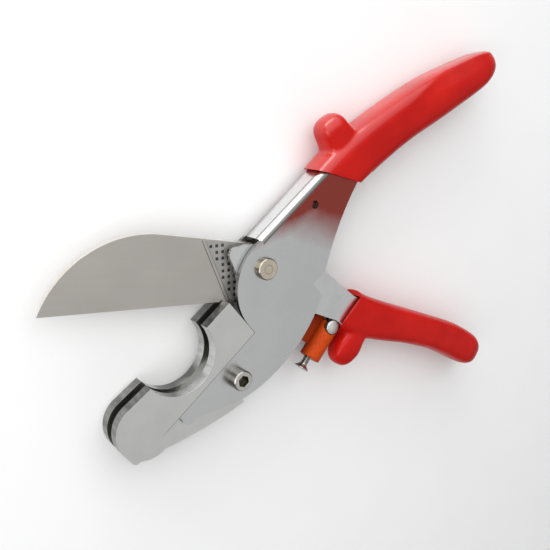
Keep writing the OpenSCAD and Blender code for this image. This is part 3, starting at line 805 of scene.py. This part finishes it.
# Small raised squares, in rows, left out where the borders would cut them.
verts, faces = [], []
for i in range(DOTS_WIDE):
    for j in range(DOTS_HIGH):
        x, y = DOT_FIRST[0] + DOT_PITCH_X * i, DOT_FIRST[1] - DOT_PITCH_Y * j
        if x - DOT_ROOM < border(2.2, y) or y + DOT_ROOM > roof(0.5, x) or x + DOT_ROOM > -6.4:
            continue
        base = len(verts)
        for half, z in ((DOT_HALF, 1.4), (DOT_HALF, 1.425), (DOT_TOP_HALF, 1.46)):
            verts += [(x + half * a, y + half * b, z) for a, b in ((-1, -1), (1, -1), (1, 1), (-1, 1))]
        faces += [[base + k for k in (3, 2, 1, 0)], [base + k for k in (8, 9, 10, 11)]]
        for ring in (base, base + 4):
            faces += [[ring + k, ring + (k + 1) % 4, ring + 4 + (k + 1) % 4, ring + 4 + k] for k in range(4)]
dots = mesh_object("panel_dots", verts, faces, PIVOT)
finish_piece(dots, "lever_arm", "blade_steel", material=DOT_STEEL)
dots.data.shade_flat()

# ---------------------------------------------------------------- floor
lo, hi = (Vector(v) for v in cad_box)
FLOOR_HALF = 4000
floor = mesh_object("floor", [(x, y, 0) for x, y in ((-FLOOR_HALF, -FLOOR_HALF), (FLOOR_HALF, -FLOOR_HALF),
    (FLOOR_HALF, FLOOR_HALF), (-FLOOR_HALF, FLOOR_HALF))], [[0, 1, 2, 3]])
floor.location = (0, 0, lo.z - 0.2 * MM)
f = Net("floor_paper")
paper = f.noise(30.0, 4.0, 0.5)
# Far from the part, what the camera sees of the floor fades into the pale background.
seen = f.tree.nodes.new("ShaderNodeLightPath").outputs["Is Camera Ray"]
away = f.calc("MULTIPLY", seen, f.span(f.radius(), 450, 1200))
f.shader.inputs["Emission Color"].default_value = (1, 1, 1, 1)
f.link(f.calc("MULTIPLY", away, 0.93), f.shader.inputs["Emission Strength"])
pale = f.mix(away, f.mix(paper, (0.9, 0.9, 0.9), (0.93, 0.93, 0.93)), (0.02, 0.02, 0.02))
floor.data.materials.append(f.done(pale, f.span(paper, 0, 1, 0.75, 0.9)))

# ---------------------------------------------------------------- sky
scene = bpy.context.scene
scene.view_settings.view_transform = "Standard"
world = bpy.data.worlds.new("studio")
scene.world = world
world.use_nodes = True
sky_tree = world.node_tree
sky_tree.nodes.clear()
sky_out = sky_tree.nodes.new("ShaderNodeOutputWorld")
sky_direction = sky_tree.nodes.new("ShaderNodeTexCoord").outputs["Generated"]


def sky_add(a, b):
    n = sky_tree.nodes.new("ShaderNodeMath")
    n.operation = "ADD"
    for value, socket in ((a, n.inputs[0]), (b, n.inputs[1])):
        if isinstance(value, bpy.types.NodeSocket):
            sky_tree.links.new(value, socket)
        else:
            socket.default_value = value
    return n.outputs["Value"]


def glow(direction, low, high, strength):
    """A soft patch of sky round one direction."""
    dot = sky_tree.nodes.new("ShaderNodeVectorMath")
    dot.operation = "DOT_PRODUCT"
    dot.inputs[1].default_value = Vector(direction).normalized()
    sky_tree.links.new(sky_direction, dot.inputs[0])
    ramp = sky_tree.nodes.new("ShaderNodeMapRange")
    ramp.interpolation_type = "SMOOTHSTEP"
    ramp.inputs["From Min"].default_value = low
    ramp.inputs["From Max"].default_value = high
    ramp.inputs["To Max"].default_value = strength
    sky_tree.links.new(dot.outputs["Value"], ramp.inputs["Value"])
    return ramp.outputs["Result"]


# The sky is dim at the horizon and brighter overhead and behind the handles; the camera sees it pale.
sky = sky_add(glow((0, 0, 1), 0.0, 1.0, 0.38), glow((0.5, -0.2, 0.8), 0.55, 1.0, 0.14))
sky = sky_add(sky, glow((-0.6, 0.7, 0.4), 0.2, 1.0, 0.3))
sky_light = sky_tree.nodes.new("ShaderNodeBackground")
sky_seen = sky_tree.nodes.new("ShaderNodeBackground")
for node in (sky_light, sky_seen):
    node.inputs["Color"].default_value = (1, 1, 1, 1)
sky_tree.links.new(sky_add(sky, 0.1), sky_light.inputs["Strength"])
sky_seen.inputs["Strength"].default_value = 0.95
sky_path = sky_tree.nodes.new("ShaderNodeLightPath")
sky_mix = sky_tree.nodes.new("ShaderNodeMixShader")
sky_tree.links.new(sky_path.outputs["Is Camera Ray"], sky_mix.inputs["Fac"])
sky_tree.links.new(sky_light.outputs["Background"], sky_mix.inputs[1])
sky_tree.links.new(sky_seen.outputs["Background"], sky_mix.inputs[2])
sky_tree.links.new(sky_mix.outputs["Shader"], sky_out.inputs["Surface"])


# ---------------------------------------------------------------- lamps and camera
def softbox(name, at, aim, width, height, watts):
    data = bpy.data.lights.new(name, "AREA")
    data.shape = "RECTANGLE"
    data.size, data.size_y = width, height
    data.energy = watts
    obj = bpy.data.objects.new(name, data)
    obj.location = at
    obj.rotation_euler = (Vector(aim) - Vector(at)).to_track_quat("-Z", "Y").to_euler()
    scene.collection.objects.link(obj)


middle = (lo + hi) / 2
softbox("key", (middle.x - 0.25, middle.y + 0.62, 0.62), middle, 1.9, 1.2, 8.6)
softbox("side", (middle.x - 0.8, middle.y - 0.2, 0.5), middle, 0.5, 0.7, 2.4)
softbox("low", (middle.x - 0.36, middle.y + 0.84, 0.2), middle, 0.9, 0.3, 3.2)

# The camera stands in front of the tool's face, above and to the left of it, rolled so that +Y is up.
EYE_AT = (-0.1261, 0.1074, 0.2700)
camera = bpy.data.cameras.new("camera")
camera.sensor_width = 36.0
camera.lens = 45.16
camera.clip_start, camera.clip_end = 0.01, 20
eye = bpy.data.objects.new("camera", camera)
right = Vector((0.82841, 0.0, 0.56012)).normalized()
forward = Vector((0.54440, -0.23524, -0.80517)).normalized()
up = right.cross(forward).normalized()
right = forward.cross(up).normalized()
eye.matrix_world = Matrix((
    (right.x, up.x, -forward.x, EYE_AT[0]),
    (right.y, up.y, -forward.y, EYE_AT[1]),
    (right.z, up.z, -forward.z, EYE_AT[2]),
    (0, 0, 0, 1),
))
scene.collection.objects.link(eye)
scene.camera = eye

bpy.context.view_layer.update()
